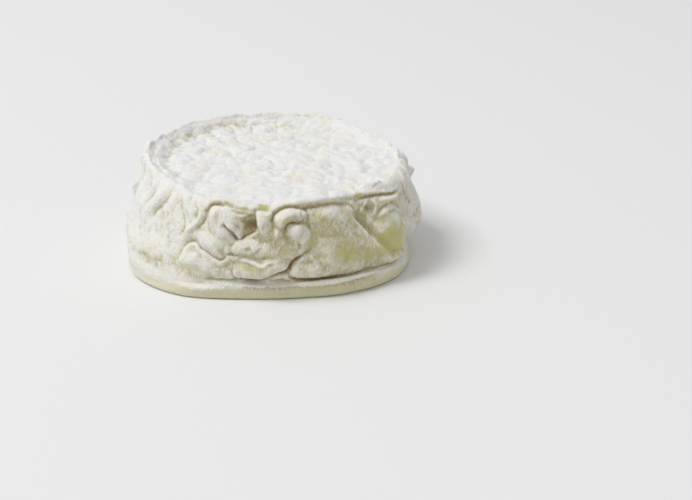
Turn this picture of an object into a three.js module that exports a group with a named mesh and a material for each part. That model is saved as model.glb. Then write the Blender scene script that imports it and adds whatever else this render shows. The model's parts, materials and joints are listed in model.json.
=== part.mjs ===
// A small soft-ripened cheese wheel: one body of paste in a wrinkled, bloomy rind.
//
// Millimetres, +Z up. The origin is on the table, in the middle of the wheel's base, and -Y is its front.
// Angles run round the wheel in degrees: 0 is the front, 90 the right (+X), 180 the back.
//
// From the table up, the wheel has a thin foot, where the ripe paste has crept outwards, a waist just above
// it, a wide belly that hangs over the waist, a wall that leans inwards, and a raised rim round a shallow
// dish. The wheel was drained in a basket and turned by hand, so no two stretches of it are alike: each of
// its rings wanders in and out, and up and down, by the amounts in the WANDER tables.

import * as THREE from "three";

// ---- Driving sizes ----
const FOOT_RADIUS = 46.5; // outside of the foot
const FOOT_HEIGHT = 3.6; // from the table to the foot's upper edge
const FOOT_ROUND = 1.1; // rounding of the foot's edges
const WAIST_DEPTH = 2.2; // from the foot's outside in to the crease above it
const WAIST_HEIGHT = 5; // from the table to that crease
const BELLY_RADIUS = 47; // widest part of the wall
const BELLY_HEIGHT = 13; // height of the widest part
const RIM_RADIUS = 43; // outside of the rim
const RIM_WIDTH = 5; // from the rim's outside to the foot of its inner slope
const HEIGHT = 32; // from the table to the top of the rim
const RIM_DROP = 2.2; // from the top of the rim down to its outside edge
const DISH_DEPTH = 1.7; // from the top of the rim down to the floor of the dish
const DISH_CROWN = 0.7; // rise of the dish's floor at its middle

// ---- Fineness of the faceted solid ----
const AROUND = 120; // facets round the wheel
const UP_WALL = 22; // facets from the foot's lower edge to the top of the rim
const ACROSS = 9; // rings on the dish, and half as many on the base

// ---- How each ring departs from its circle: [angle, outwards, upwards] ----
const FOOT_WANDER = [
  [-160, -0.5, 0],
  [-120, 0.5, 0],
  [-88, 0.6, 0],
  [-70, 3.4, 0],
  [-56, 4.8, 0],
  [-34, 3.6, 0],
  [-12, -1, -0.3],
  [12, -1.6, 0.3],
  [32, 1, 0.4],
  [56, 2.8, 0],
  [88, -0.4, -0.4],
  [125, 0.6, 0],
  [165, 0.8, 0.4],
];
const WAIST_WANDER = [
  [-150, -0.4, 0],
  [-105, 1.6, 0.6],
  [-75, 2.2, 1],
  [-45, 1.2, 0.4],
  [-15, 0, 0],
  [15, -0.6, -0.4],
  [50, -0.4, 0],
  [85, 0.6, 0.8],
  [120, -0.2, 0],
  [160, 0.6, 0.6],
];
const BELLY_WANDER = [
  [-165, 0.6, 1],
  [-125, -0.8, 0],
  [-88, 1.6, 0],
  [-60, 1.6, -1],
  [-28, -0.6, -1],
  [5, -2.4, -1],
  [35, -0.4, -2],
  [62, 0.4, -1],
  [95, 0.6, 1],
  [130, -0.8, 0],
];
const RIM_WANDER = [
  [-178, 2.4, 2.4],
  [-155, 1.6, 2.6],
  [-140, 2.8, 2.6],
  [-122, 1.2, 2.2],
  [-102, 1.4, 2.1],
  [-82, -0.8, 0.6],
  [-52, -3, -0.6],
  [-28, -0.6, -0.8],
  [-5, 1, -1],
  [20, -2.2, -0.8],
  [42, -1.6, -0.8],
  [62, 1.6, -0.5],
  [88, 1.4, 0],
  [112, 0.8, 0.4],
  [132, -0.4, 1],
  [156, 3, 2.2],
];

// ---- Folds of the wall: [angle, height, half-width round the wheel, half-height, outwards] ----
// The wall is too small for its rind, which has buckled into pillows with hollows between them.
const FRONT_FOLDS = [
  [-72, 20, 5, 9, -0.9],
  [-57, 22, 3, 8, 0.9],
  [-44, 17, 6, 6, -0.8],
  [-32, 22, 2.5, 6, 1],
  [-26, 11, 6, 4, 0.8],
  [-19, 22, 4, 5.5, 1.1],
  [-8, 24.5, 2.6, 2.8, -2.4],
  [-1, 25.5, 2.4, 4, 0.9],
  [-3, 17, 5, 2.5, 0.8],
  [1, 10, 8, 2.6, 1.2],
  [8, 27.5, 5, 1.8, 0.8],
  [12, 22, 3, 2.6, 1.2],
  [13, 12, 4, 3.5, -1.2],
  [26, 16, 8, 7.5, 1.3],
  [43, 22, 4.5, 4.5, -1.8],
  [56, 16, 6, 7.5, 1.6],
  [69, 9, 4, 4, -1.4],
];
const BACK_FOLDS = 26; // how many more there are from BACK_START round to BACK_END
const BACK_START = 82;
const BACK_END = 278;
const BACK_LOW = 12; // heights between which they lie
const BACK_HIGH = 26;
const BACK_DEPTH = 1.1; // how far the strongest of them goes in or out
const GOLDEN = 0.618034; // spreads the heights evenly with no pattern that repeats

// A smooth closed curve through a table's rows, read at any angle: gives { out, up }.
function wander(table) {
  const byAngle = (a, b) => a[0] - b[0];
  const rows = [...table].sort(byAngle);
  const count = rows.length;
  const row = (i) => {
    const turn = Math.floor(i / count);
    const [angle, out, up] = rows[i - turn * count];
    return { angle: angle + 360 * turn, out, up };
  };
  // Between rows b and c, each value follows a cubic whose slopes come from the neighbours on both sides.
  return (degrees) => {
    const start = rows[0][0];
    const at = start + THREE.MathUtils.euclideanModulo(degrees - start, 360);
    let i = 0;
    while (row(i + 1).angle <= at) i += 1;
    const [a, b, c, d] = [row(i - 1), row(i), row(i + 1), row(i + 2)];
    const span = c.angle - b.angle;
    const t = (at - b.angle) / span;
    const blend = (key) => {
      const slopeB = ((c[key] - a[key]) / (c.angle - a.angle)) * span;
      const slopeC = ((d[key] - b[key]) / (d.angle - b.angle)) * span;
      const turned = 2 * (b[key] - c[key]) + slopeB + slopeC;
      const bent = -3 * (b[key] - c[key]) - 2 * slopeB - slopeC;
      return ((turned * t + bent) * t + slopeB) * t + b[key];
    };
    return { out: blend("out"), up: blend("up") };
  };
}

const footAt = wander(FOOT_WANDER);
const waistAt = wander(WAIST_WANDER);
const bellyAt = wander(BELLY_WANDER);
const rimAt = wander(RIM_WANDER);

// The wall's outline at one angle, from the foot's lower edge to the top of the rim.
function wallOutline(degrees) {
  const foot = footAt(degrees);
  const belly = bellyAt(degrees);
  const rim = rimAt(degrees);
  const footRadius = FOOT_RADIUS + foot.out;
  const footHeight = FOOT_HEIGHT + foot.up;
  const waist = waistAt(degrees);
  const waistRadius = footRadius - WAIST_DEPTH + waist.out;
  const waistHeight = WAIST_HEIGHT + waist.up;
  const bellyRadius = BELLY_RADIUS + belly.out;
  const rimRadius = RIM_RADIUS + rim.out;
  const rimTop = HEIGHT + rim.up;
  const bellyHeight = BELLY_HEIGHT + belly.up;
  return new THREE.SplineCurve([
    new THREE.Vector2(footRadius - FOOT_ROUND, 0),
    new THREE.Vector2(footRadius, FOOT_ROUND),
    new THREE.Vector2(footRadius - FOOT_ROUND / 3, footHeight - FOOT_ROUND),
    new THREE.Vector2(waistRadius, waistHeight),
    new THREE.Vector2((waistRadius + 2 * bellyRadius) / 3, (waistHeight + bellyHeight) / 2),
    new THREE.Vector2(bellyRadius, bellyHeight),
    new THREE.Vector2((bellyRadius + rimRadius) / 2, (bellyHeight + rimTop - RIM_DROP) / 2),
    new THREE.Vector2(rimRadius, rimTop - RIM_DROP),
    new THREE.Vector2(rimRadius - RIM_WIDTH / 2, rimTop),
  ]);
}

function backFolds() {
  const folds = [];
  for (let i = 0; i < BACK_FOLDS; i += 1) {
    const angle = BACK_START + ((BACK_END - BACK_START) * (i + 0.5)) / BACK_FOLDS;
    const share = (i * GOLDEN) % 1;
    const height = BACK_LOW + (BACK_HIGH - BACK_LOW) * share;
    const halfWidth = 3 + 2.5 * ((i * GOLDEN * GOLDEN) % 1);
    const halfHeight = 3 + 5 * (1 - share);
    const out = (i % 2 ? -1 : 1) * BACK_DEPTH * (0.55 + 0.45 * Math.cos(3 * i));
    folds.push([angle, height, halfWidth, halfHeight, out]);
  }
  return folds;
}

const FOLDS = [...FRONT_FOLDS, ...backFolds()];

// How far the folds push the wall out at one angle and height. They fade out at the waist and at the rim.
function foldsAt(degrees, height, lowest, highest) {
  const { smoothstep, euclideanModulo, degToRad } = THREE.MathUtils;
  const fade = smoothstep(height, lowest, lowest + 3) * (1 - smoothstep(height, highest - 3, highest));
  let out = 0;
  for (const [angle, middle, halfWidth, halfHeight, push] of FOLDS) {
    const turn = euclideanModulo(degrees - angle + 180, 360) - 180;
    const along = (degToRad(turn) * BELLY_RADIUS) / halfWidth;
    const up = (height - middle) / halfHeight;
    out += push * Math.exp(-along * along - up * up);
  }
  return out * fade;
}

// The whole outline at one angle, from the middle of the base, up the wall, to the middle of the dish.
function outline(degrees) {
  const wall = wallOutline(degrees).getSpacedPoints(UP_WALL);
  const rimEdge = HEIGHT + rimAt(degrees).up - RIM_DROP;
  for (const point of wall) point.x += foldsAt(degrees, point.y, WAIST_HEIGHT, rimEdge);
  const baseEdge = wall[0];
  const rimTop = wall[UP_WALL];
  const baseRings = Math.ceil(ACROSS / 2);
  const base = [];
  for (let i = 0; i < baseRings; i += 1) base.push(new THREE.Vector2((baseEdge.x * i) / baseRings, 0));
  const floorEdge = new THREE.Vector2(rimTop.x - RIM_WIDTH / 2, HEIGHT - DISH_DEPTH);
  const dish = [];
  for (let i = 0; i <= ACROSS; i += 1) {
    const share = i / ACROSS;
    const crown = DISH_CROWN * Math.sin((share * Math.PI) / 2);
    dish.push(new THREE.Vector2(floorEdge.x * (1 - share), floorEdge.y + crown));
  }
  return [...base, ...wall, ...dish];
}

// A lathe sets out the rings and facets. Each column then takes the outline of its own angle.
function wheelGeometry() {
  const geometry = new THREE.LatheGeometry(outline(0), AROUND);
  const position = geometry.getAttribute("position");
  const rows = outline(0).length;
  for (let column = 0; column <= AROUND; column += 1) {
    const degrees = (360 * (column % AROUND)) / AROUND;
    const turn = THREE.MathUtils.degToRad(degrees);
    outline(degrees).forEach((point, row) => {
      position.setXYZ(column * rows + row, point.x * Math.sin(turn), -point.x * Math.cos(turn), point.y);
    });
  }
  geometry.computeBoundingBox();
  const middle = geometry.boundingBox.getCenter(new THREE.Vector3());
  geometry.translate(-middle.x, -middle.y, 0);
  geometry.computeVertexNormals();
  return geometry;
}

const rind = new THREE.MeshStandardMaterial({ color: 0xece9dc, roughness: 0.85, metalness: 0 });
const wheel = new THREE.Mesh(wheelGeometry(), rind);
wheel.name = "cheese_wheel";

const cheese = new THREE.Group();
cheese.add(wheel);

export default cheese;
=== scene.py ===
# %% [markdown]
# # A small soft-ripened cheese wheel
# The wheel is one body of soft paste in a thin white rind. As it ripened it shrank, its rind was suddenly
# too big for it, and the wall buckled into pillows and creases, while the top sank into a shallow dish.
# The solid model gives its true size and its broad shape. Here that shape gets its rind: first the folds,
# as real geometry, then the white mould, the bare spots and the tan creases, as a material that also has
# painted light and shade in it.
#
# The frame is loaded first.

# %% Load the frame
import json
import math

import bpy
import numpy as np
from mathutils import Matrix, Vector, noise
from mathutils.bvhtree import BVHTree
from mathutils.kdtree import KDTree

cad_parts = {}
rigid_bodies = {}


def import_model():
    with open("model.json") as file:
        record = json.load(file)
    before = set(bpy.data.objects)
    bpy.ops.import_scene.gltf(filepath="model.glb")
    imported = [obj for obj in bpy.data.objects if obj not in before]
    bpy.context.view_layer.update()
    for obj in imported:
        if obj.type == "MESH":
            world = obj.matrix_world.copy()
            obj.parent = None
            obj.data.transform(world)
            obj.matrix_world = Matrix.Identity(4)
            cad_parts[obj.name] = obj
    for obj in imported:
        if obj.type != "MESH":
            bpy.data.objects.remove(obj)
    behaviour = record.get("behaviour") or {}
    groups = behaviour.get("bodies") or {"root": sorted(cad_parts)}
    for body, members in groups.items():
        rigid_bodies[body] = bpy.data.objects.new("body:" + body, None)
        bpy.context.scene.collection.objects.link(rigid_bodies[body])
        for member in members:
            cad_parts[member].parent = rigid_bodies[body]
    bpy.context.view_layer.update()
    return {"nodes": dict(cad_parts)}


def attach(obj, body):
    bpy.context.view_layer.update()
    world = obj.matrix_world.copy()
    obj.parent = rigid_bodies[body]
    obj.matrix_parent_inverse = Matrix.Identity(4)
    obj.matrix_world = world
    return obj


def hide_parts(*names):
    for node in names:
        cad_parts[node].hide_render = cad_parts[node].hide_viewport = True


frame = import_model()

cad_wheel = frame["nodes"]["cheese_wheel"]
MM = 0.001

# %% [markdown]
# ## A skin fine enough to sculpt
# The solid is faceted, with triangles 2 to 5 mm wide, and folds as fine as half a millimetre have to go
# into it. A copy of it is merged, and the Remesh modifier then lays an even net of small quads over it,
# whatever its old edges were. A short smoothing takes the facets out. Subdividing would have kept the long
# thin triangles of the dish, and they would have pulled every fold out of shape.

# %% Two helpers for modifiers
def make_active(obj):
    bpy.ops.object.select_all(action="DESELECT")
    obj.select_set(True)
    bpy.context.view_layer.objects.active = obj


def apply_modifier(obj, kind, **settings):
    make_active(obj)
    modifier = obj.modifiers.new(kind.title(), kind)
    for name, value in settings.items():
        setattr(modifier, name, value)
    bpy.ops.object.modifier_apply(modifier=modifier.name)
    print(kind.lower(), "leaves", len(obj.data.vertices), "vertices")


print("vertices of the solid wheel:", len(cad_wheel.data.vertices))

# %% Copy, merge and remesh
SKIN = 0.3 * MM  # size of one quad of the first skin
MERGE = 0.001 * MM
SMOOTH_ROUNDS = 14

rind = bpy.data.objects.new("wrinkled_rind", cad_wheel.data.copy())
bpy.context.scene.collection.objects.link(rind)
make_active(rind)
bpy.ops.object.mode_set(mode="EDIT")
bpy.ops.mesh.select_all(action="SELECT")
bpy.ops.mesh.remove_doubles(threshold=MERGE)
bpy.ops.object.mode_set(mode="OBJECT")
apply_modifier(rind, "REMESH", mode="VOXEL", voxel_size=SKIN)
apply_modifier(rind, "SMOOTH", factor=0.5, iterations=SMOOTH_ROUNDS)

# %% [markdown]
# ## Places on the wheel
# A place on the wall is an angle round the wheel, 0 at the front and 90 at the right, and a height above
# the table. A place on the top is the same angle and a distance from the middle. Both are in degrees and
# millimetres, which is how one would measure a real cheese with a ruler. A ray sent at the skin from
# outside turns such a place into a point on it.

# %% Read and write the points of a mesh, in millimetres
def read_points(obj):
    flat = np.empty(len(obj.data.vertices) * 3)
    obj.data.vertices.foreach_get("co", flat)
    return flat.reshape(-1, 3) / MM


def read_normals(obj):
    flat = np.empty(len(obj.data.vertices) * 3)
    obj.data.vertices.foreach_get("normal", flat)
    return flat.reshape(-1, 3)


def write_points(obj, points):
    obj.data.vertices.foreach_set("co", (points * MM).ravel())
    obj.data.update()


rest = read_points(rind)
out = read_normals(rind)
print("the skin's highest point, in mm:", round(rest[:, 2].max(), 2))

# %% Rays that find a place on the skin
FAR = 90.0  # a ray starts this far from the middle
RIM_INSIDE = 37.0  # nothing of the wall is nearer to the middle than this
LOWER = 0.2
faces = [tuple(p.vertices) for p in rind.data.polygons]
skin_tree = BVHTree.FromPolygons([Vector(p) for p in rest], faces)


def around(angle):
    turn = math.radians(angle)
    return Vector((math.sin(turn), -math.cos(turn), 0))


def on_wall(angle, height):
    facing = around(angle)
    while True:
        hit, normal, _, _ = skin_tree.ray_cast(facing * FAR + Vector((0, 0, height)), -facing)
        if hit is not None and hit.dot(facing) > RIM_INSIDE:
            return hit, normal
        height -= LOWER  # the ray went over the rim, so it tries a little lower


def on_top(angle, radius):
    start = around(angle) * radius + Vector((0, 0, FAR))
    hit, normal, _, _ = skin_tree.ray_cast(start, Vector((0, 0, -1)))
    return hit, normal


print("the wall at the front, half way up:", [round(v, 1) for v in on_wall(0, 15)[0]])

# %% [markdown]
# The rim is higher at some places than at others, and a group of folds will be laid more than once. So the
# rim's height is measured at each degree. A group that is laid again is stretched to the wall's height
# there, and bent a little by smooth noise, as no fold on a cheese is the exact copy of another.

# %% The rim's height, and where a group's places go when it is laid again
FOOT_TOP = 4.0
BESIDE = 1.5  # degrees on both sides that count as one angle
NOISE_ROUND = 0.12  # how fast the bending changes with the angle, and with the height
NOISE_UP = 0.25
BEND_UP = 0.6
BEND_SEED = 7  # without a seed, noise_vector takes its offsets from the clock, and no two runs agree
degrees = np.degrees(np.arctan2(rest[:, 0], -rest[:, 1])) % 360
outer = np.hypot(rest[:, 0], rest[:, 1]) > RIM_INSIDE
rim_tops = []
for whole_angle in range(360):
    beside = np.abs((degrees - whole_angle + 180) % 360 - 180) < BESIDE
    rim_tops.append(rest[outer & beside][:, 2].max())
moved_to = {"start": 0.0, "end": 0.0, "stretch": 1.0, "mirror": 1, "wobble": 0.0}
noise.seed_set(BEND_SEED)


def placed(angle, height):
    turn = (angle - moved_to["start"]) * moved_to["stretch"] * moved_to["mirror"]
    seed = Vector((angle * NOISE_ROUND, height * NOISE_UP, moved_to["end"]))
    bend = noise.noise_vector(seed) * moved_to["wobble"]
    there = moved_to["end"] + turn + bend.x
    taller = (rim_tops[int(there) % 360] - FOOT_TOP) / (rim_tops[int(angle) % 360] - FOOT_TOP)
    return there, FOOT_TOP + (height - FOOT_TOP) * taller + bend.y * BEND_UP


print("the rim is", round(min(rim_tops), 1), "to", round(max(rim_tops), 1), "mm high")

# %% [markdown]
# ## A stroke
# Every fold is a stroke of a brush, as in sculpting by hand: a smooth line laid on the skin through a few
# chosen places, which lifts or sinks what lies near it. Both sides have a width of their own, so that a
# fold can be steep on one side and gentle on the other. A stroke fades out at its ends. It can also pinch
# the skin in towards its line, which sharpens a crease, or slide one side over it, which makes a fold that
# overhangs. The strokes are all measured on the skin as it was at the start, so their order is free.

# %% Profiles across a stroke, from its line at 0 to its edge at 1
def soft(x):
    return 0.5 + 0.5 * np.cos(np.pi * x)


def sharp(x):
    return (1 - x) ** 2


def roll(x):
    return (1 - x * x) ** 0.75


def crack(x):
    return 0.5 * (1 - x) ** 3 + 0.5 * (1 - x) ** 1.5


def shoulder(x):
    return np.sin(np.pi * x**0.6)


for profile in (soft, sharp, roll, crack, shoulder):
    print("half way to its edge,", profile.__name__, "still moves the skin by", round(profile(0.5), 2))

# %% A smooth line through a few places, laid on the skin
STEP = 0.5  # millimetres between the points of a stroke's line
MM_PER_DEGREE = 0.8


def smooth_line(places, finder):
    rows = [np.array(p, float) for p in places]
    rows = [2 * rows[0] - rows[1], *rows, 2 * rows[-1] - rows[-2]]
    points = []
    normals = []
    for a, b, c, d in zip(rows, rows[1:], rows[2:], rows[3:]):
        count = max(2, int(np.hypot((c[0] - b[0]) * MM_PER_DEGREE, c[1] - b[1]) / STEP))
        for i in range(count):
            t = i / count
            at = 0.5 * (2 * b + (c - a) * t + (2 * a - 5 * b + 4 * c - d) * t**2)
            at = at + 0.5 * (3 * b - a - 3 * c + d) * t**3
            hit, normal = finder(*(placed(*at) if finder is on_wall else at))
            if hit is not None:
                points.append(hit)
                normals.append(normal)
    return np.array(points), np.array(normals)


trial_line, trial_normals = smooth_line([(0, 4), (5, 16), (0, 28)], on_wall)
print("a line from the foot to the rim has", len(trial_line), "points")

# %% How far each point is from a line, and on which side of it
TOO_SHORT = 1e-6


def nearest_on_line(points, line, normals):
    best = np.full(len(points), np.inf)
    along = np.zeros(len(points))
    offset = np.zeros_like(points)
    side = np.zeros_like(points)
    for i in range(len(line) - 1):
        start = line[i]
        piece = line[i + 1] - start
        length = np.linalg.norm(piece)
        if length < TOO_SHORT:
            continue
        t = np.clip((points - start) @ piece / length**2, 0, 1)
        away = points - start - t[:, None] * piece
        distance = np.linalg.norm(away, axis=1)
        nearer = distance < best
        best[nearer] = distance[nearer]
        along[nearer] = (i + t[nearer]) / (len(line) - 1)
        offset[nearer] = away[nearer]
        side[nearer] = np.cross(normals[i], piece / length)
    return best, along, offset, side


distances = nearest_on_line(rest[::50], trial_line, trial_normals)[0]
print("of every fiftieth point of the skin,", int((distances < 2).sum()), "are within 2 mm of that line")

# %% [markdown]
# The stroke adds its lift, its pinch and its slide to one list of moves, and nothing moves before all
# strokes are in. It also notes how deep in a crease each point lies, because the colour needs that later.
# A stroke on the wall fades out over the rim, so that it leaves the dish's slope smooth.

# %% The stroke itself
CREASE_COLOUR = 1.3  # how far from its line a crease is coloured, in mm
OVER_THE_RIM = -0.35  # how far inwards a point may face before a wall stroke leaves it alone
RIM_FADE = 0.5
OTHER_HAND = 0.25  # how much of a slide the far side of the line takes part in
moves = np.zeros_like(rest)
depth = np.zeros(len(rest))
from_middle = np.hypot(rest[:, 0], rest[:, 1])
turned_out = (out[:, :2] * rest[:, :2]).sum(axis=1) / np.maximum(from_middle, 1)
outside = np.clip((turned_out - OVER_THE_RIM) / RIM_FADE, 0, 1)


def stroke(places, lift, widths, shape=soft, pinch=0.0, slide=0.0, ends=(0.25, 0.25), where=on_wall,
           tint=0.0):
    """widths: (left hand, right hand) of someone walking along the line on the outside of the wheel."""
    line, normals = smooth_line(places, where)
    reach = max(widths)
    low = line.min(axis=0) - reach
    high = line.max(axis=0) + reach
    near = np.flatnonzero(((rest > low) & (rest < high)).all(axis=1))
    best, along, offset, side = nearest_on_line(rest[near], line, normals)
    side = side * moved_to["mirror"]
    left = (offset * side).sum(axis=1) > 0
    width = np.where(left, widths[0], widths[1])
    inside = best < width
    near, best, along, side, left, width = (v[inside] for v in (near, best, along, side, left, width))
    fade_in = np.clip(along / ends[0], 0, 1)
    fade_out = np.clip((1 - along) / ends[1], 0, 1)
    fade = np.sin(0.5 * np.pi * np.minimum(fade_in, fade_out))
    if where is on_wall:
        fade *= outside[near]
    share = shape(best / width) * fade
    moves[near] += out[near] * (lift * share)[:, None]
    hand = np.where(left, 1.0, -1.0)
    squeeze = np.minimum(best, pinch * soft(best / width)) * fade
    moves[near] -= side * (hand * squeeze)[:, None]
    glide = slide * soft(best / width) * fade * np.where(left, 1.0, OTHER_HAND)
    moves[near] -= side * glide[:, None]
    # the creases' colour: tan, partly the rind's own and partly painted shade, strongest on a crease's line
    depth[near] = np.maximum(depth[near], tint * soft(np.clip(best / CREASE_COLOUR, 0, 1)) * fade)


print("points that a wall stroke may move:", int((outside > 0).sum()), "of", len(rest))

# %% A bump or a hollow
FACING_ENOUGH = 0.2


def swell(place, sizes, lift, turn=0.0, shape=soft, where=on_wall):
    """A bump, or a hollow where lift is negative. sizes: half its width and half its height."""
    centre, normal = where(*(placed(*place) if where is on_wall else place))
    level = Vector((0, 0, 1)).cross(normal).normalized() if where is on_wall else around(place[0] + 90)
    up = normal.cross(level)
    spin = math.radians(turn) * moved_to["mirror"]
    first = np.array(level * math.cos(spin) + up * math.sin(spin))
    second = np.array(up * math.cos(spin) - level * math.sin(spin))
    away = rest - np.array(centre)
    reach = np.hypot(away @ first / sizes[0], away @ second / sizes[1])
    facing = out @ np.array(normal) > FACING_ENOUGH
    near = np.flatnonzero((reach < 1) & facing & (np.linalg.norm(away, axis=1) < 1.5 * max(sizes)))
    moves[near] += out[near] * (lift * shape(reach[near]))[:, None]


print("at the front, half way up, a bump would rise towards", [round(v, 2) for v in on_wall(0, 15)[1]])


# %% A crease, which is a crack with a pillow's shoulder on both sides, and a ridge
def crease(places, sink, widths, bulge=0.5, **more):
    settings = {"shape": crack, "pinch": 0.3, "tint": 1.0}
    settings.update(more)
    stroke(places, -sink, [0.8 * w for w in widths], **settings)
    extra = {key: settings[key] for key in ("ends", "where") if key in settings}
    stroke(places, bulge, [2.0 * w for w in widths], shape=shoulder, **extra)


def ridge(places, lift, widths, **more):
    stroke(places, lift, widths, **more)


def tell(what):
    moved = np.linalg.norm(moves, axis=1)
    print(what, "- points moved:", int((moved > 0.01).sum()), "- farthest, in mm:", round(moved.max(), 2))


tell("before the first stroke")

# %% [markdown]
# ## The folds of the front
# The front of the wall is where the rind has buckled most. From left to right: long soft folds that slant
# down from the rim, a tall rolled fold with a groove in it, a deep hollow, a hook that curls out from under
# the rim, a small round pillow, a broad smooth sheet with a sharp edge, and a big bare pillow at the right.
# They are laid one by one, because no formula gives such a fold, and each function below is one such group.

# %% The crease under the rim
def under_rim():
    crease([(-26, 27.3), (-24.5, 28.7), (-23, 29.9), (-20, 30.3), (-16, 29.9)], 2.0, (1.2, 2.2), slide=0.5)
    ridge([(-27, 29.2), (-24, 31), (-20, 31.4), (-15, 31), (-10, 30.6)], 0.7, (1.5, 1.4))
    crease([(1, 26.6), (2, 27.5), (3, 28.5), (5.5, 29.5), (8.5, 29.9), (12.5, 29.4), (14.5, 28.9)],
           2.1, (1.2, 2.2), slide=0.6, ends=(0.15, 0.1), tint=0.9)
    crease([(13.5, 28.9), (16, 29.2), (20, 29.3), (25, 29.3), (31, 29), (38, 27.8)],
           1.9, (1.1, 3.2), slide=0.6, ends=(0.08, 0.3), tint=0.8)
    ridge([(0, 30), (8, 30.3), (16, 30.4), (24, 30.3), (34, 30.2), (44, 30), (55, 30.2)], 0.9, (1.4, 1.3))
    crease([(40, 28.6), (46, 28.8), (53, 28.5), (57, 27.8), (61, 27.5), (66, 28.3)],
           1.1, (0.9, 1.8), slide=0.3)
    ridge([(-20, 31.2), (-15, 30.8), (-10, 30.3), (-5, 30.1), (0, 30.2)], 0.9, (1.3, 1.1))
    crease([(-15.5, 29.3), (-10, 28.7), (-6, 28.6), (-3.4, 28.9)],
           0.8, (1.0, 1.7), shape=sharp, bulge=0.2, tint=0.3)


under_rim()
tell("the crease under the rim")


# %% The crease above the foot
def above_foot():
    crease([(18.6, 17.2), (16.8, 16.2), (14.5, 15.1), (11.8, 13.6), (9.7, 12.1), (8.4, 10), (7.2, 9.5),
            (3.3, 9), (0.2, 7.6), (-2.8, 6.9), (-6, 6.7), (-9.5, 6.8), (-12, 6.8)],
           2.8, (1.7, 3.0), bulge=0.7, slide=-0.5, ends=(0.4, 0.12))
    crease([(8.4, 9.9), (9.2, 8), (11, 7), (14, 6.6), (18, 6.3), (22, 6.2), (28, 6), (34, 5.9)],
           2.0, (2.6, 1.4), bulge=0.5, slide=0.7, ends=(0.08, 0.4))
    crease([(26, 6.1), (34, 6), (44, 6.2), (54, 6.1), (64, 6.3), (74, 6.4)],
           0.9, (2.6, 1.5), slide=0.3, tint=0.4)
    crease([(-22, 6.3), (-16, 6.5), (-12, 6.7)],
           0.5, (1.8, 1.4), shape=soft, ends=(0.5, 0.2), tint=0.2)


above_foot()
tell("the crease above the foot")


# %% The tall rolled fold with its groove
def tall_fold():
    swell((-17.6, 25.6), (4.6, 5.2), 1.2, turn=-8, shape=roll)
    swell((-23, 19.2), (6.2, 4.4), 1.3, turn=-38)
    swell((-17.5, 18.6), (4.2, 4.6), 0.8)
    ridge([(-20.4, 29.4), (-20.9, 27), (-21.2, 24.5), (-22.4, 22)], 0.8, (1.8, 2.6), ends=(0.15, 0.5))
    crease([(-24.6, 28.5), (-25.6, 25.6), (-27.5, 22.6)],
           1.0, (2.2, 1.6), shape=sharp, bulge=0.2, tint=0.3)
    crease([(-30.5, 17.6), (-28.5, 18.3), (-26, 16.5), (-22.5, 15.4), (-20.5, 14.5), (-18, 13.6),
            (-16.6, 14.3), (-15.5, 15.3)], 2.0, (1.9, 1.3), slide=0.9, ends=(0.15, 0.05), tint=0.9)
    crease([(-15.7, 15.3), (-14, 15.5), (-12, 15.2), (-10, 15.6)],
           1.3, (1.6, 1.3), slide=0.3, ends=(0.05, 0.5), tint=0.8)
    crease([(-29.3, 18.3), (-31, 17.6), (-33, 16.5), (-34.5, 15), (-36, 12.5), (-37, 10)],
           0.9, (1.6, 2.4), bulge=0.25, ends=(0.1, 0.6), tint=0.35)
    crease([(-17, 24.8), (-15.6, 23.8), (-13.6, 22.2), (-11.8, 20.2), (-11, 19.2)],
           2.2, (1.3, 2.1), shape=crack, bulge=0.3, ends=(0.25, 0.1), tint=0.9)
    swell((-16.6, 24.6), (1.2, 1.0), -0.8)
    swell((-12.2, 20.8), (1.5, 2.0), -0.9, turn=35)
    ridge([(-15, 25.4), (-12.9, 23.7), (-11.2, 21.6), (-10.2, 20.2)], 0.9, (1.2, 0.8), ends=(0.3, 0.1))


tall_fold()
tell("the tall fold")


# %% The deep hollow beside it
def deep_hollow():
    swell((-10, 25), (2.6, 3.4), 0.8)
    stroke([(-6.2, 28.6), (-5.3, 26.6), (-4.9, 24.6), (-5.6, 22.9)],
           -2.2, (1.5, 5.2), ends=(0.3, 0.2), tint=0.5)
    swell((-6.4, 23.8), (3, 2.2), -1.3, turn=20)
    crease([(-10.8, 20.0), (-8.6, 21.3), (-6, 22.4), (-3.6, 23.2)], 1.5, (2.2, 1.2), bulge=0.2, tint=0.9)
    crease([(-3.6, 23.2), (-3.7, 25.3), (-4, 27.6), (-4.8, 29.2)], 1.2, (1.2, 1.8), bulge=0.2, tint=0.8)


deep_hollow()
tell("the hollow")


# %% The hook that curls out from under the rim
def hook():
    ridge([(-2, 29.6), (-2.2, 27.4), (-1.6, 25), (-0.4, 22.8), (1.6, 20.8), (4, 19.4)],
          1.5, (3.4, 1.5), shape=roll, ends=(0.1, 0.6))
    ridge([(4.4, 18.6), (5, 21), (4.9, 23.4), (5, 25.8), (6.4, 27.3), (9, 27.9), (12.4, 27.6),
           (14.6, 26.4), (15.2, 25)], 1.8, (2.0, 2.3), shape=roll, ends=(0.45, 0.08))
    crease([(2.8, 28.4), (2.2, 27), (2.5, 25.4)],
           1.4, (1.5, 1.3), bulge=0.2, ends=(0.1, 0.6), tint=0.8)
    swell((2.9, 22.4), (2.0, 2.8), 1.1)
    crease([(7.2, 20.4), (7, 22.2), (7.1, 24.2), (8.3, 25.3), (10.2, 25.5), (12, 25), (15, 24.4)],
           1.7, (1.6, 1.2), slide=0.3, ends=(0.45, 0.2), tint=0.95)
    crease([(16.6, 28.6), (17, 26.5), (16.7, 24.8), (15.4, 24)], 1.3, (1.5, 1.2), bulge=0.3, tint=0.5)


hook()
tell("the hook")


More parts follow.
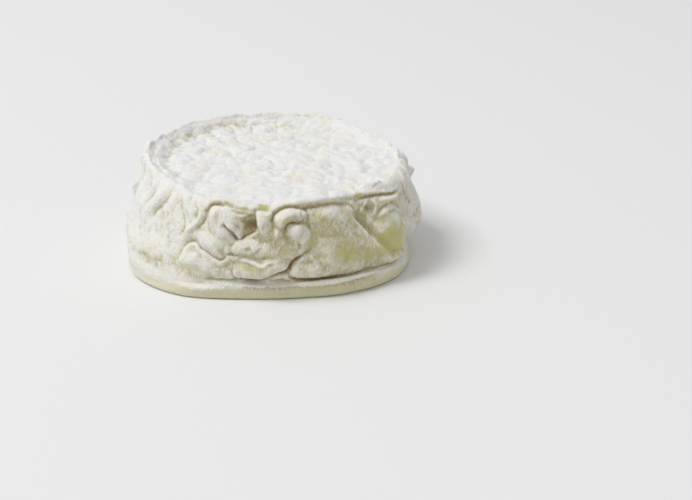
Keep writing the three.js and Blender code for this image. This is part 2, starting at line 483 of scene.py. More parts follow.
# %% The round pillow under the hook, and the small ones beside it
def round_pillow():
    swell((12.6, 22.2), (4.2, 3.3), 1.7, turn=-25, shape=roll)
    swell((11, 22.8), (3.4, 2.8), 1.0)
    swell((14, 18.8), (3.4, 4.4), 1.1, turn=-12)
    crease([(11.6, 20.4), (12.5, 19.2), (12.9, 17.6), (12.6, 16)],
           0.9, (1.2, 1.1), bulge=0.3, ends=(0.3, 0.4), tint=0.35)
    swell((17.6, 20.6), (2.8, 3.4), 0.7)
    swell((3.4, 16.8), (7, 4.2), 1.2, turn=14, shape=roll)
    swell((-8, 18), (4.8, 2.6), 1.0, turn=14, shape=roll)
    swell((-7, 17.4), (1.5, 1.2), -0.5)
    ridge([(-5.2, 18.8), (-4.6, 17.2), (-3.6, 16)], 0.5, (1.3, 1.2))
    swell((12.5, 15.2), (3.4, 2.6), 0.6)


round_pillow()
tell("the round pillow")


# %% The loaf-shaped pillows along the bottom
def bottom_pillows():
    swell((-2, 10.6), (9.6, 3.6), 0.9, turn=6, shape=roll)
    ridge([(-10.6, 13.6), (-7.4, 13.5), (-4.4, 12.7), (-2.2, 12.1), (0.2, 12.7), (2, 14.4)],
          0.7, (1.1, 1.2), ends=(0.15, 0.3))
    swell((-1.4, 14.6), (2.2, 1.2), -0.5, turn=10)
    crease([(-13.8, 10.4), (-13.4, 8.6), (-12.9, 7)], 1.3, (1.2, 1.2), shape=sharp, tint=0.5)
    swell((-20, 10), (6, 4), 0.6)
    swell((15, 9.6), (5.6, 2.6), 1.0, turn=8, shape=roll)
    swell((26, 11.5), (9, 5.6), 0.7)
    ridge([(16.5, 15.4), (17.8, 13.4), (19.5, 12), (20, 10)], 0.5, (1.2, 1.2))
    ridge([(20.5, 13.6), (21.6, 12), (21, 10.2)], 0.4, (0.8, 0.8))


bottom_pillows()
tell("the pillows along the bottom")


# %% The broad sheet with its sharp edge
def broad_sheet():
    swell((26, 23.6), (6.5, 4.2), 0.9, shape=roll)
    stroke([(35.2, 27), (37.6, 23.6), (40.6, 20.2), (43.6, 17), (46.6, 13.4), (50, 10.4), (54.6, 8.6),
            (61, 7.8), (70, 7.6)], 1.4, (2.4, 8.0), shape=sharp, ends=(0.25, 0.25))
    stroke([(39.4, 24.8), (42.4, 21), (45.4, 17.6), (48.6, 13.8), (52, 11.2), (57, 9.6), (63, 9)],
           -1.1, (2.8, 2.0), ends=(0.2, 0.2), tint=0.3)


broad_sheet()
tell("the broad sheet")


# %% The big bare pillow at the right, and the small folds over it
def bare_pillow():
    swell((54.4, 15.4), (7.8, 8.6), 1.8, turn=-22, shape=roll)
    crease([(49, 22.2), (51.5, 24), (54.5, 25), (57.5, 25), (61, 23.4), (65, 20.4)],
           1.2, (1.6, 1.6), tint=0.4)
    ridge([(49, 21.4), (52, 23), (56, 23.6), (60, 22.4), (63.5, 19.8)], 0.8, (1.1, 1.2))
    crease([(68.5, 17), (67.5, 12.6), (65, 9.6), (62, 8)], 2.0, (2.2, 1.8), slide=0.5, tint=1.0)
    ridge([(46.4, 28.4), (45, 27), (43.5, 25.4), (41.5, 24.2), (39.5, 22.6)], 0.8, (1.0, 0.9))
    swell((46.2, 25.2), (1.8, 1.6), -1.3, turn=-30)
    swell((41.4, 24.2), (1.5, 1.4), -1.0)
    ridge([(48.8, 27.6), (49.2, 25.4), (48.2, 23.2), (46.2, 22)], 0.8, (0.9, 0.9))
    crease([(36.5, 28), (38.6, 26.4), (39.6, 24.6)], 1.0, (1.0, 1.0), tint=0.5)
    ridge([(51, 27.2), (55, 26.6), (60, 26.2), (64, 26.4)], 0.8, (1.1, 1.0))


bare_pillow()
tell("the bare pillow")


# %% The wall at the left leans in towards the rim
def lean_in():
    stroke([(-122, 29.5), (-105, 29.5), (-88, 29), (-72, 28.6), (-58, 28.6)], -1.5, (5, 9), ends=(0.3, 0.3))


lean_in()
tell("the lean")


# %% The long soft folds of the left
def left_folds():
    ridge([(-54, 31.6), (-53, 28.8), (-55, 26), (-59, 23.5), (-60.5, 19.5), (-59, 14)],
          0.9, (3.6, 3.0), ends=(0.1, 0.5))
    crease([(-49.5, 31), (-50.2, 27.6), (-54, 23.2), (-57, 18.6)],
           0.6, (2.6, 2.4), shape=soft, bulge=0.2, tint=0.15)
    ridge([(-66, 31), (-66.5, 27), (-69, 24), (-71.5, 19), (-71, 14)], 0.7, (3.2, 3.0), ends=(0.12, 0.5))
    crease([(-61.6, 31), (-62.4, 27.4), (-65.6, 23), (-66.4, 18)],
           0.6, (2.4, 2.2), shape=soft, bulge=0.2, tint=0.15)
    ridge([(-75, 31), (-77, 26), (-80, 21), (-81, 16)], 0.3, (2.8, 2.4), ends=(0.15, 0.5))
    ridge([(-45.5, 31), (-45, 28), (-46.5, 24.6)], 0.7, (1.5, 1.5), ends=(0.1, 0.4))
    ridge([(-37.5, 31), (-35.5, 28.5), (-32, 25.2), (-30, 23.2), (-30.5, 21.6)],
          0.8, (1.5, 1.5), ends=(0.1, 0.4))
    ridge([(-28.8, 31), (-28.2, 29), (-27.5, 27), (-28.8, 23.8), (-31.4, 22), (-33.5, 20.6), (-34, 18.8),
           (-35.5, 16.6)], 0.9, (1.6, 1.4), ends=(0.1, 0.4))
    crease([(-32.6, 30), (-30.4, 27.4), (-29.9, 25.2)], 0.8, (1.4, 1.2), shape=sharp, bulge=0.2, tint=0.35)
    crease([(-41.5, 30), (-39, 25.6), (-36.4, 22.4), (-37, 17)],
           0.7, (2.6, 3), shape=soft, bulge=0.3, tint=0.15)
    ridge([(-44.4, 17), (-43.6, 13.5), (-41.8, 10.2), (-40.8, 6)], 0.5, (2.4, 1.9), ends=(0.5, 0.4))
    swell((-48.6, 13.4), (5.6, 7), 0.9)
    swell((-31, 12.2), (5, 3.6), 0.8, turn=24)
    swell((-66, 10), (6, 5), 0.5)


left_folds()
tell("the folds of the left")

# %% [markdown]
# ## The foot and the rim
# The wheel stood on its foot while it was still soft, so the paste spread there into a low smooth ledge
# that sticks out under the pillows. At the top the rind has stayed up as a rim, while the middle sank. Both
# could be built into the solid, but they are uneven all along, so they are strokes too. The dish's inner
# slope is the one shape that is set by a formula: between the rim's crest and the floor it follows a curve.

# %% The foot's ledge
def foot_ledge():
    ridge([(-40, 3.4), (-28, 3.5), (-15, 3.6), (0, 3.7), (15, 3.9), (30, 3.9), (45, 3.7), (60, 3.5),
           (74, 3.4)], 1.9, (1.8, 2.8), ends=(0.3, 0.2))
    stroke([(-26, 5.2), (-15, 5.3), (0, 5.4), (14, 5.3), (30, 5.1), (46, 4.9), (62, 4.9)],
           2.6, (1.5, 1.8), ends=(0.3, 0.3))


foot_ledge()
tell("the foot's ledge")


# %% The groove inside the rim at the left, and the lumps beside it
GROOVE_LUMPS = (
    (-148, 35.4, 4.2, 1.1), (-160, 33.6, 3.4, 1.0), (-172, 33.2, 3.6, 1.2), (176, 34.9, 3.4, 0.8),
    (-134, 32, 4.4, 0.6), (-116, 30, 4.6, 0.4), (-99, 30, 4.4, 0.4), (-83, 31, 4, 0.4),
    (-70, 31.2, 4.2, 0.3),
)  # angle, distance from the middle, size, lift


def left_groove():
    stroke([(-165, 37.5), (-143, 38), (-124, 36.8), (-105, 36.2), (-88, 34.8), (-70, 33.4), (-55, 32.8)],
           -0.6, (2.6, 3.2), where=on_top, ends=(0.15, 0.2), tint=0.15)
    swell((-83, 35.4), (2.6, 3.4), -0.5, where=on_top)
    swell((-129, 38.2), (2.4, 1.8), -0.8, where=on_top)
    swell((-120, 36.4), (2, 2.4), 0.9, where=on_top)
    for angle, radius, size, lift in GROOVE_LUMPS:
        swell((angle, radius), (size, size * 0.9), lift, where=on_top, shape=roll)


def creases_at_the_back_left():
    crease([(-154, 38), (-155, 35.4), (-155, 33)], 1.0, (1.4, 1.4), where=on_top, shape=sharp, tint=0.2)
    crease([(-166, 37), (-166, 34.4), (-166, 32.6)], 1.0, (1.3, 1.3), where=on_top, shape=sharp, tint=0.3)
    crease([(-179, 38.4), (-180, 36.4), (-181, 34)], 0.9, (1.8, 1.4), where=on_top, shape=sharp, tint=0.5)
    crease([(-164, 38.2), (-172, 37.4), (-180, 37.8), (-190, 39)], 1.0, (1.5, 1.5), where=on_top, tint=0.35)


left_groove()
creases_at_the_back_left()
tell("the groove")

# %% The rim's crest all round: how far from the middle it is, and how high
AROUND_TWICE = np.arange(-9, 369)  # a little more than all round, so that the averages have no seam
EVEN = np.ones(9) / 9


def crest_line():
    whole = degrees.astype(int) % 360
    crest = []
    for whole_angle in range(360):
        near = np.flatnonzero(outer & (whole == whole_angle))
        crest.append(from_middle[near[rest[near, 2].argmax()]])
    distance = np.convolve(np.array(crest)[AROUND_TWICE % 360], EVEN, "same")
    height = np.convolve(np.array(rim_tops)[AROUND_TWICE % 360], EVEN, "same")
    return distance, height


crest_distance, crest_height = crest_line()
print("the crest is", round(crest_distance[9:-9].min(), 1), "to", round(crest_distance[9:-9].max(), 1),
      "mm from the middle")

# %% The broad soft slope inside the rim
DISH_FLOOR = 30.4
SLOPE_WIDTH = 7.6
WIDER_AT_LEFT = 2.5
BELOW_CREST = 0.15  # the slope starts this much below the crest, so that it makes no step there
STEEPER_UP = 1.7  # over 1, the slope rises slowly at the floor and fast at the crest
slope = np.zeros(len(rest))  # where the slope is broad, kept for the painted shade that the colour puts on it


def near_angle(angles, middle, width):
    """1 at an angle and falling off on both sides of it, as a bell does."""
    return np.exp(-(((angles - middle) / width) ** 2))


def soft_slope():
    crest_here = np.interp(degrees, AROUND_TWICE, crest_distance)
    high = (rest[:, 2] > DISH_FLOOR - 1) & (out[:, 2] > 0.1)
    top = np.flatnonzero(high & (from_middle < crest_here))
    width = SLOPE_WIDTH + WIDER_AT_LEFT * near_angle(degrees[top], 245, 40)
    share = np.clip((from_middle[top] - crest_here[top] + width) / width, 0, 1)
    rise = np.interp(degrees[top], AROUND_TWICE, crest_height) - DISH_FLOOR - BELOW_CREST
    wanted = DISH_FLOOR + rise * share**STEEPER_UP
    moves[top, 2] += np.maximum(wanted - rest[top, 2], 0)
    # painted shade on the slope, strongest half way down it, at the back left
    slope[top] = np.sin(np.pi * share) * near_angle(degrees[top], 230, 55)
    print("points on the slope:", int((share > 0).sum()))


soft_slope()
tell("the slope")


# %% The dish's floor is level with the rim at the front and the right
def front_plateau():
    swell((30, 33), (16, 9), 0.8, where=on_top)
    swell((-6, 35), (13, 6), 0.5, where=on_top)
    swell((75, 34), (13, 9), 0.6, where=on_top)


front_plateau()
tell("the plateau")

# %% [markdown]
# ## The back
# The rind buckles in the same way all round, so the back gets the same kinds of fold. Each group is laid
# again at another angle, mirrored or stretched, with its lines bent by noise. Drawing a second set of folds
# would have taken as long as the first, and copies of the mesh would show, while bent strokes don't.

# %% Lay the groups again round the back
def again(groups, start, end, mirror=-1, stretch=1.0, wobble=1.6):
    """start: the angle in the group that goes to the angle end."""
    moved_to.update(start=start, end=end, stretch=stretch, mirror=mirror, wobble=wobble)
    for group in groups:
        group()
    moved_to.update(start=0.0, end=0.0, stretch=1.0, mirror=1, wobble=0.0)


again([left_folds], -55, 99)
again([round_pillow, bottom_pillows], 8, 98, mirror=1, stretch=1.3, wobble=2.6)
again([tall_fold, bottom_pillows], -8, 133, stretch=1.15, wobble=2.2)
again([left_folds], -58, 171, stretch=0.7, wobble=2.6)
again([hook, round_pillow], 10, 207, mirror=1, stretch=1.2, wobble=2.2)
again([bottom_pillows], 4, 196, stretch=1.2, wobble=2.4)
again([tall_fold], -14, 238, mirror=1, stretch=1.2, wobble=2.4)
again([left_folds], -50, 257, mirror=1, stretch=0.8)
tell("the folds of the back")

# %% [markdown]
# ## The dish
# The wheel was turned over on a draining mat while it was young, so its top is a field of low soft lumps
# with narrow grooves between them, and at the right and the front a faint print of the mat's ribs. Such
# lumps come from smooth noise: the absolute value of a wave has sharp valleys and round tops. The noise is
# a sum of waves in directions drawn from a seeded generator, so that every run gives the same cheese.

# %% Smooth noise, and lumps made from it
WAVES = 28
RATES = (0.55, 1.35)  # the shortest and the longest waves, as shares of the wanted one


def field(points, size, seed):
    """A smooth random unevenness with bumps about so many millimetres apart, mostly between -1 and 1."""
    draw = np.random.default_rng(seed)
    directions = draw.normal(size=(WAVES, 3))
    directions /= np.linalg.norm(directions, axis=1)[:, None]
    rates = 2 * np.pi / size * draw.uniform(*RATES, WAVES)
    phases = draw.uniform(0, 2 * np.pi, WAVES)
    total = np.zeros(len(points))
    for direction, rate, phase in zip(directions, rates, phases):
        total += np.cos(points @ direction * rate + phase)
    return total / math.sqrt(WAVES)


def billows(points, size, seed):
    """Rounded lumps with narrow grooves between them: 1 on a lump, 0 in a groove."""
    return np.minimum(np.abs(field(points, size, seed)), 1) ** 0.75


trial_lumps = billows(rest[::50], 13, 21)
print("on average a point is", round(trial_lumps.mean(), 2), "of the way up a lump")

# %% The lumps of the dish and the print of the mat
DISH_RADIUS = 42.0
ABOVE_THE_WALL = 27.0
FLAT = 0.75  # how far up a point has to face to be on the dish's floor
RIBS_ACROSS = 4.2
RIBS_ALONG = 3.6


def mat_print():
    on_floor = (out[:, 2] > FLAT) & (rest[:, 2] > ABOVE_THE_WALL) & (from_middle < DISH_RADIUS)
    flat = np.flatnonzero(on_floor)
    ground = rest[flat] * (1, 1, 0)
    x = ground[:, 0] + 1.2 * field(ground, 12, 1)
    y = ground[:, 1] + 1.2 * field(ground, 12, 2)
    right = np.clip((x + 2) / 18, 0, 1)
    front = np.clip((-y - 4) / 18, 0, 1)
    lumps = 0.9 * billows(ground, 13, 21) + 0.42 * billows(ground, 7, 22) + 0.08 * field(ground, 3, 3)
    lumps += 0.05 * right * np.cos(2 * np.pi * x / RIBS_ACROSS)
    lumps += 0.04 * front * np.cos(2 * np.pi * y / RIBS_ALONG)
    lumps += 0.2 * field(ground, 18, 4)
    level = np.clip((out[flat, 2] - FLAT) / 0.2, 0, 1)
    moves[flat, 2] += (lumps - 0.5) * level
    print("the lumps are", round(float(np.ptp(lumps)), 2), "mm from lowest to highest")


mat_print()


# %% A gentle unevenness everywhere, least on the smooth foot
ABOVE_THE_TABLE = 0.4
SMOOTH_FOOT = 3.5


def unevenness():
    wall = np.flatnonzero(rest[:, 2] > ABOVE_THE_TABLE)
    bumps = 0.2 * field(rest[wall], 8, 5) + 0.1 * field(rest[wall], 3, 6) + 0.05 * field(rest[wall], 1.4, 7)
    rise = np.clip((rest[wall, 2] - SMOOTH_FOOT) / 4, 0.3, 1)
    moves[wall] += out[wall] * (bumps * rise)[:, None]


unevenness()
tell("the unevenness")

# %% [markdown]
# ## From strokes to a clean mesh
# The strokes have stretched the skin and, where a fold overhangs, laid it against itself. A second remesh
# joins what touches and evens the net out, and Decimate then spends the triangles where the surface bends.
# Where folds meet, the remesh can leave a loose crumb inside. Only what hangs together with the highest
# point stays, so that the finished rind is one closed shell.

# %% Throw away what is loose
def keep_outer_skin(obj):
    before = len(obj.data.vertices)
    make_active(obj)
    highest = int(read_points(obj)[:, 2].argmax())
    bpy.ops.object.mode_set(mode="EDIT")
    bpy.ops.mesh.select_mode(type="VERT")
    bpy.ops.mesh.select_all(action="DESELECT")
    bpy.ops.object.mode_set(mode="OBJECT")
    obj.data.vertices[highest].select = True
    bpy.ops.object.mode_set(mode="EDIT")
    bpy.ops.mesh.select_linked()
    bpy.ops.mesh.select_all(action="INVERT")
    bpy.ops.mesh.delete(type="VERT")
    bpy.ops.object.mode_set(mode="OBJECT")
    print("loose vertices thrown away:", before - len(obj.data.vertices))


# %% Net the folded skin afresh
FINE = 0.28 * MM
TRIANGLES = 190000
folded = rest + moves
write_points(rind, folded)
apply_modifier(rind, "REMESH", mode="VOXEL", voxel_size=FINE)
apply_modifier(rind, "SMOOTH", factor=0.4, iterations=1)
keep_outer_skin(rind)
rind.data.calc_loop_triangles()
apply_modifier(rind, "DECIMATE", ratio=TRIANGLES / len(rind.data.loop_triangles))
make_active(rind)
bpy.ops.object.shade_smooth()
print("faces of the finished rind:", len(rind.data.polygons))

# %% [markdown]
# ## What the colour needs to know
# On the real rind the colour follows the shape. The white mould is thick on what stands out, the creases go
# tan, and where a fold was pressed or rubbed the olive paste shows through. Painted light and shade go over
# this: the mould is whiter where it faces up, partly as painted light, and thinner at the front right, as
# painted shade; the hollows get a painted shade, and the creases' tan is partly painted shade. A texture
# can't know any of this, so it is worked out here for each point of the mesh and painted on it as
# attributes, which the material then reads. Painting by hand would do as well, but it would have to be done
# again after every change of the shape.

# %% Average over the neighbours
final = read_points(rind)
facing = read_normals(rind)
edges = np.empty(len(rind.data.edges) * 2, int)
rind.data.edges.foreach_get("vertices", edges)
edges = edges.reshape(-1, 2)


def evened(values, times):
    count = np.bincount(edges.ravel(), minlength=len(values))
    for _ in range(times):
        total = np.bincount(edges[:, 0], values[edges[:, 1]], len(values))
        total += np.bincount(edges[:, 1], values[edges[:, 0]], len(values))
        values = 0.5 * values + 0.5 * total / count
    return values


print("edges of the finished rind:", len(edges))

# %% How far each point stands out of what is round it
NARROW = 4  # rounds of averaging: few for the small folds, many for the broad ones
BROAD = 40


def relief_at(times):
    average = np.column_stack([evened(final[:, i], times) for i in range(3)])
    return ((final - average) * facing).sum(axis=1)


fine_relief = relief_at(NARROW)
broad_relief = relief_at(BROAD)
print("the broad relief goes from", round(broad_relief.min(), 2), "to", round(broad_relief.max(), 2), "mm")

# %% The creases, found again on the new mesh
tree = KDTree(len(folded))
for i, point in enumerate(folded):
    tree.insert(point, i)
tree.balance()
source = [tree.find(point)[1] for point in final]
# how deep in a crease each point lies; it sets the crease's tan, which is partly painted shade
crease_tan_and_shade = evened(depth[source], 1)
print("points in a crease:", int((crease_tan_and_shade > 0.3).sum()))


# %% Spots where the mould is thin and the paste shows through
def spot(place, sizes, strength, where=on_wall):
    """A soft round spot. sizes: its half width and half height, in mm."""
    centre = np.array(where(*place)[0])
    away = final - centre
    reach = np.hypot(np.hypot(away[:, 0], away[:, 1]) / sizes[0], away[:, 2] / sizes[1])
    return strength * np.exp(-reach * reach)


BARE_ON_FRONT = (
    ((-7, 11.3), (4, 1.5), 0.7), ((0, 15), (3.4, 1.8), 0.55), ((6, 16.5), (3.6, 2.4), 0.6),
    ((9, 19), (2, 1.4), 0.4), ((-12, 17.5), (2, 1.4), 0.35), ((19, 17), (3.6, 3), 0.55),
    ((25, 19), (3, 3), 0.4), ((31, 14), (7, 4.6), 0.75), ((22, 12.4), (3, 2), 0.5), ((30, 9), (8, 2.6), 0.5),
    ((41, 12), (5, 4), 0.6), ((20, 23), (5, 4), 0.3), ((54, 14), (8, 7.5), 1.0), ((51, 20), (4, 4), 0.6),
    ((62, 9), (4, 4), 0.8), ((45, 24), (3, 2), 0.4),
)
BARE_ON_RIM = (
    ((-9, 30.2), (1.9, 1.1), 0.9), ((-1.5, 30.4), (2.6, 1.1), 0.85), ((6, 30.6), (2.4, 0.9), 0.5),
    ((-17, 31.4), (3.4, 0.9), 0.5), ((43, 29.8), (2.4, 1), 0.9), ((50, 29.4), (2, 1), 0.5),
    ((33, 30), (5, 1), 0.45), ((20, 30.2), (5, 1), 0.4), ((-72, 28.5), (3, 2), 0.35),
    ((-93, 30.8), (3, 1.6), 0.6),
)
BARE_AT_LEFT = (
    ((-62, 25), (2, 3), 0.25), ((-66, 16), (4, 4), 0.2), ((-80, 12), (5, 5), 0.3), ((-52, 9), (7, 4), 0.25),
    ((-30, 9), (5, 3), 0.25), ((-24, 12), (3, 3), 0.2), ((-20, 20), (2, 3), 0.2),
)
BARE_ON_TOP = (
    ((-129, 39), (2.4, 3.4), 0.5), ((-124, 36), (2, 2), 0.4), ((-180, 38.2), (1.6, 2), 0.9),
    ((-166, 37), (1.4, 2), 0.5), ((-94, 42), (3, 3), 0.35), ((168, 40.4), (1.6, 2), 0.4),
    ((-100, 37), (2.4, 3), 0.25),
)
bare = np.zeros(len(final))
for place, sizes, strength in BARE_ON_FRONT + BARE_ON_RIM + BARE_AT_LEFT:
    bare = np.maximum(bare, spot(place, sizes, strength))
for place, sizes, strength in BARE_ON_TOP:
    bare = np.maximum(bare, spot(place, sizes, strength, on_top))
print("share of the rind that is bare:", round(float((bare > 0.3).mean()), 3))

# %% The hollow beside the hook gets a painted shade, as dark as a crease
HOLLOW_SHADE_SPOT = ((-5.6, 24.2), (3.8, 2.2), 0.9)
crease_tan_and_shade = np.maximum(crease_tan_and_shade, spot(*HOLLOW_SHADE_SPOT))
print("points in a crease or the hollow:", int((crease_tan_and_shade > 0.3).sum()))

# %% The foot, which is bare paste up to an uneven edge, though less so at the left
FOOT_EDGE = 4.3
EDGE_SOFTNESS = 1.4
angle = np.degrees(np.arctan2(final[:, 0], -final[:, 1]))
foot_edge = FOOT_EDGE + 0.7 * field(final * (1, 1, 0), 9, 11)
foot_edge += 0.35 * field(final, 3, 12)
foot = np.clip((foot_edge - final[:, 2]) / EDGE_SOFTNESS, 0, 1)
foot *= 1 - 0.8 * near_angle(angle, -80, 42)
print("share of the rind that is foot:", round(float((foot > 0.5).mean()), 3))

# %% The mould, thinnest at the front right and at a few spots, with a painted shade there, and less of it at the back
THINNEST_AND_SHADIEST = 38.0  # the angle at which the mould is thinnest
BACK = 165.0
LEDGE = 5.4
THIN_MOULD_AND_SHADE = (((7, 26.5), (7, 3.6), 0.4), ((24, 23), (7, 5), 0.35), ((-50, 9), (12, 5), 0.3))
level = np.clip(facing[:, 2], 0, 1)
from_thinnest_and_shadiest = angle - THINNEST_AND_SHADIEST
from_back = (angle - BACK + 180) % 360 - 180
# Painted shade: the white mould is cut back most at the front right, which faces away from the lamp, and at
# the listed spots, so the cream there stands in for shade as well as for thin mould; at the back it is cut
# back too
mould_and_shade = 1 - 0.85 * near_angle(from_thinnest_and_shadiest, 0, np.where(from_thinnest_and_shadiest < 0, 85, 45))
mould_and_shade -= 0.4 * near_angle(from_back, 0, 35)
for place, sizes, strength in THIN_MOULD_AND_SHADE:
    mould_and_shade -= spot(place, sizes, strength)
ledge = np.exp(-(((final[:, 2] - LEDGE) / 0.9) ** 2))
# Painted light and shade: what faces up is painted whiter, and the front right less white; the rest follows
# the mould's own thickness, more on the ledge and on what stands out
bloom_light_and_shade = 0.6 * level + 0.8 * mould_and_shade + 0.5 * ledge + 0.9 * broad_relief + 1.6 * fine_relief
print("the mould's mean thickness, from 0 to 1:", round(float(np.clip(bloom_light_and_shade, 0, 1).mean()), 2))


# %% Paint it all on the mesh
def paint(name, values):
    layer = rind.data.attributes.new(name, "FLOAT", "POINT")
    layer.data.foreach_set("value", np.clip(values, 0, 1).astype(np.float32))
    print("painted", name, "with a mean of", round(float(np.clip(values, 0, 1).mean()), 3))


on_dish = np.clip((final[:, 2] - 28) / 3, 0, 1) * (np.hypot(final[:, 0], final[:, 1]) < DISH_RADIUS)
# Painted shade: what lies deeper than its neighbours gets the hollow attribute, less on the dish, and the
# broad slope inside the rim gets some too; it darkens the colour where shade falls
hollow = np.clip(-0.8 * broad_relief - 1.5 * fine_relief, 0, 1) * (1 - 0.35 * on_dish)
paint("crease_tan_and_shade", crease_tan_and_shade)
paint("bare", bare)
paint("foot", foot)
# partly painted light: the dish gets more white
paint("bloom_light_and_shade", bloom_light_and_shade + 0.5 * on_dish)
paint("fuzz", 1 - 0.6 * level)
# pure white on the dish and where the mould is thickest, at the left: partly painted light
paint("pure", np.maximum(on_dish, np.clip(mould_and_shade, 0, 1) ** 2 * 0.9))
paint("hollow", hollow + 0.3 * evened(slope[source], 4))

# %% [markdown]
# ## The rind's material
# The mould is a felt of fine white hairs over a creamy rind. Light goes a little way into both and comes
# out softer, so the shader has subsurface scattering with a radius of about a millimetre. The colour is
# built up in layers: cream below, white mould over it, then the olive bare spots, a painted shade in the
# hollows, the tan creases, which are partly painted shade, and the pale foot. Apart from the painted shade,
# this is the order in which the real one grew. Each layer is mixed in where a painted attribute says, and
# noise of a few millimetres breaks up the layer's edge. The felt itself is finer than the mesh, so it is a
# bump, made of short lumps and of strands that run up the wall.

# %% Colours of the layers
def colour(red, green, blue):
    """A colour as seen, from 0 to 255, as the linear light that a shader takes."""
    return [((v / 255 + 0.055) / 1.055) ** 2.4 for v in (red, green, blue)] + [1.0]


WHITE = colour(242, 239, 227)
PURE_WHITE = colour(243, 243, 242)
HAIRS = colour(246, 244, 236)
CREAM = colour(206, 197, 154)
OLIVE = colour(198, 191, 126)
# painted shade, for the hollows
SHADED = colour(176, 164, 118)
# the creases' tan, partly the rind's colour and partly painted shade
CREASE_TAN_AND_SHADE = colour(168, 132, 64)
PASTE = colour(216, 211, 176)
print("cream as linear light:", [round(v, 3) for v in CREAM])

# %% Helpers that make one node each
material = bpy.data.materials.new("bloomy_rind")
material.use_nodes = True
nodes = material.node_tree.nodes
links = material.node_tree.links
shader = nodes["Principled BSDF"]


def attribute(name):
    node = nodes.new("ShaderNodeAttribute")
    node.attribute_name = name
    return node.outputs["Fac"]


def sums(kind, a, b, c=None):
    node = nodes.new("ShaderNodeMath")
    node.operation = kind
    for slot, value in enumerate(v for v in (a, b, c) if v is not None):
        if isinstance(value, (int, float)):
            node.inputs[slot].default_value = value
        else:
            links.new(value, node.inputs[slot])
    return node.outputs[0]


def ramp(value, low, high):
    node = nodes.new("ShaderNodeMapRange")
    node.interpolation_type = "SMOOTHSTEP"
    node.inputs["From Min"].default_value = low
    node.inputs["From Max"].default_value = high
    links.new(value, node.inputs["Value"])
    return node.outputs["Result"]


def mix(factor, first, second):
    node = nodes.new("ShaderNodeMix")
    node.data_type = "RGBA"
    links.new(factor, node.inputs["Factor"])
    for name, value in (("A", first), ("B", second)):
        socket = next(s for s in node.inputs if s.name == name and s.type == "RGBA")
        if isinstance(value, list):
            socket.default_value = value
        else:
            links.new(value, socket)
    return next(s for s in node.outputs if s.type == "RGBA")


print("sockets of the shader:", len(shader.inputs))


# %% Noise patterns, by the size of their lumps in millimetres
def grain(size, detail=2.0, stretch=(1, 1, 1)):
    """Noise with lumps about this many millimetres across, longer along an axis whose stretch is small."""
    place = nodes.new("ShaderNodeTexCoord")
    mapping = nodes.new("ShaderNodeMapping")
    mapping.inputs["Scale"].default_value = [s / (size * MM) for s in stretch]
    texture = nodes.new("ShaderNodeTexNoise")
    texture.inputs["Scale"].default_value = 1.0
    texture.inputs["Detail"].default_value = detail
    links.new(place.outputs["Object"], mapping.inputs["Vector"])
    links.new(mapping.outputs["Vector"], texture.inputs["Vector"])
    return texture.outputs["Fac"]


patchy = grain(3.2, 4.0)
fluff = grain(0.55, 3.0)
strands = grain(0.44, 1.0, (1, 1, 0.2))
broad = grain(9.0, 2.0)
print("nodes for the patterns:", len(nodes))


def broken_up(name, pattern, amount, less):
    """A painted attribute whose edge a pattern breaks up by this amount; less is taken off everywhere."""
    return sums("ADD", attribute(name), sums("MULTIPLY_ADD", pattern, amount, -less))


# %% The white mould over the cream, whose whiteness carries painted light and shade, and the hairs that catch the light
HAIR_STRENGTH = 0.65
# the white follows the painted bloom, with painted light on what faces up and painted shade at the front
# right
white_part = ramp(broken_up("bloom_light_and_shade", broad, 0.6, 0.3), 0.0, 0.85)
pure_part = sums("MULTIPLY", attribute("pure"), ramp(broad, 0.3, 0.52))
base = mix(white_part, CREAM, mix(pure_part, WHITE, PURE_WHITE))
hairs = ramp(sums("ADD", strands, sums("MULTIPLY_ADD", fluff, 0.6, -0.3)), 0.5, 0.68)
base = mix(sums("MULTIPLY", hairs, HAIR_STRENGTH), base, HAIRS)
print("nodes so far:", len(nodes))

# %% Bare spots, the painted shade of the hollows, the creases with their tan and painted shade, and the foot over it
BARE_STRENGTH = 0.95
HOLLOW_SHADE_STRENGTH = 0.55
CREASE_STRENGTH = 0.88
bare_part = ramp(broken_up("bare", patchy, 1.1, 0.62), 0.12, 0.75)
base = mix(sums("MULTIPLY", bare_part, BARE_STRENGTH), base, OLIVE)
# painted shade in the hollows
base = mix(sums("MULTIPLY", ramp(attribute("hollow"), 0.05, 0.8), HOLLOW_SHADE_STRENGTH), base, SHADED)
# the creases' tan, partly painted shade
crease_part = ramp(broken_up("crease_tan_and_shade", fluff, 0.3, 0.15), 0.25, 0.95)
base = mix(sums("MULTIPLY", crease_part, CREASE_STRENGTH), base, CREASE_TAN_AND_SHADE)
base = mix(attribute("foot"), base, PASTE)
links.new(base, shader.inputs["Base Color"])
print("nodes so far:", len(nodes))

# %% The felt's bump, which the bare paste and the flat top have less of
FELT_HEIGHT = 1.0 * MM
bare_or_foot = sums("MAXIMUM", bare_part, attribute("foot"))
felt = sums("SUBTRACT", 1.0, sums("MULTIPLY", bare_or_foot, 0.75))
felt = sums("MULTIPLY", felt, attribute("fuzz"))
height = sums("ADD", sums("MULTIPLY", strands, 0.6), sums("MULTIPLY", fluff, 0.8))
bump = nodes.new("ShaderNodeBump")
bump.inputs["Distance"].default_value = FELT_HEIGHT
links.new(sums("MULTIPLY", height, felt), bump.inputs["Height"])
links.new(bump.outputs["Normal"], shader.inputs["Normal"])
print("felt bump, in mm:", FELT_HEIGHT / MM)

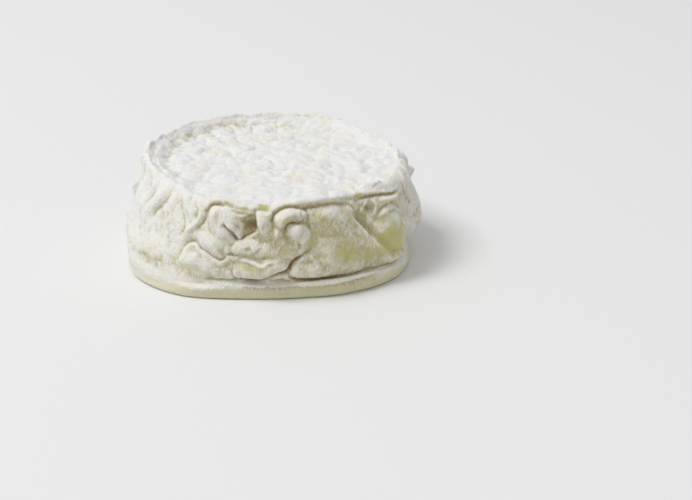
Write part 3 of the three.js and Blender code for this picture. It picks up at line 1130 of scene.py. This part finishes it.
# %% Roughness, light inside the paste, and the sheen of the hairs
ROUGH_FELT = 0.92
SMOOTH_PASTE = 0.55
rough = nodes.new("ShaderNodeMapRange")
links.new(bare_or_foot, rough.inputs["Value"])
rough.inputs["To Min"].default_value = ROUGH_FELT
rough.inputs["To Max"].default_value = SMOOTH_PASTE
links.new(rough.outputs["Result"], shader.inputs["Roughness"])
shader.inputs["Subsurface Weight"].default_value = 0.55
shader.inputs["Subsurface Radius"].default_value = (1.0, 0.85, 0.5)
shader.inputs["Subsurface Scale"].default_value = 1.1 * MM
shader.inputs["Sheen Weight"].default_value = 0.2
shader.inputs["Sheen Roughness"].default_value = 0.5
shader.inputs["IOR"].default_value = 1.42
print("nodes of the rind's material:", len(nodes))

# %% The rind takes the solid wheel's place
rind.data.materials.clear()
rind.data.materials.append(material)
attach(rind, "root")
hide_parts("cheese_wheel")
print("the rind rides on the root and stands for the cheese wheel")

# %% [markdown]
# ## Floor, light and camera
# The wheel is seen a little from above, from about half a metre away, with a long lens that keeps its round
# top from looking stretched. White on white needs little light: one large soft lamp high up at the left
# gives every fold a bright side and a shaded side, and an even white world fills the shadows. More lamps
# would have flattened the folds. The view transform is Standard, so that white mould stays white.

# %% Camera
LENS = 85.0
SENSOR = 36.0
RISE = 22.0  # degrees above the horizon
DISTANCE = 0.548
AIM = Vector((0, 0, 0.015))
SIDEWAYS = 0.0245
DOWN = 0.0151
cam_data = bpy.data.cameras.new("camera")
cam_data.lens = LENS
cam_data.sensor_width = SENSOR
camera = bpy.data.objects.new("camera", cam_data)
bpy.context.scene.collection.objects.link(camera)
rise = math.radians(RISE)
look = Vector((0, math.cos(rise), -math.sin(rise)))
upward = Vector((0, math.sin(rise), math.cos(rise)))
camera.location = AIM - look * DISTANCE + Vector((SIDEWAYS, 0, 0)) - upward * DOWN
camera.rotation_euler = (math.radians(90 - RISE), 0, 0)
bpy.context.scene.camera = camera
print("the camera is at", [round(v, 3) for v in camera.location])

# %% Floor
FLOOR_SIZE = 6.0
FLOOR_GREY = 0.86
bpy.ops.mesh.primitive_plane_add(size=FLOOR_SIZE, location=(0, 0, 0))
floor = bpy.context.active_object
floor.name = "floor"
floor_material = bpy.data.materials.new("white_table")
floor_material.use_nodes = True
floor_shader = floor_material.node_tree.nodes["Principled BSDF"]
floor_shader.inputs["Base Color"].default_value = (FLOOR_GREY, FLOOR_GREY, FLOOR_GREY, 1)
floor_shader.inputs["Roughness"].default_value = 0.9
floor.data.materials.append(floor_material)
print("floor", FLOOR_SIZE, "m wide")

# %% World and lamp
WORLD_STRENGTH = 0.5
LAMP_PLACE = (-1.45, -0.4, 2.3)
LAMP_SIZE = 1.2
LAMP_POWER = 42
LAMP_AIM = Vector((0, 0, 0.01))
world = bpy.data.worlds.new("studio")
bpy.context.scene.world = world
world.use_nodes = True
world.node_tree.nodes["Background"].inputs["Color"].default_value = (1, 1, 1, 1)
world.node_tree.nodes["Background"].inputs["Strength"].default_value = WORLD_STRENGTH

lamp_data = bpy.data.lights.new("key", "AREA")
lamp_data.energy = LAMP_POWER
lamp_data.size = LAMP_SIZE
lamp = bpy.data.objects.new("key", lamp_data)
lamp.location = LAMP_PLACE
lamp.rotation_euler = (LAMP_AIM - Vector(LAMP_PLACE)).to_track_quat("-Z", "Y").to_euler()
bpy.context.scene.collection.objects.link(lamp)
bpy.context.scene.view_settings.view_transform = "Standard"
print("lamp of", LAMP_POWER, "W at", LAMP_PLACE)
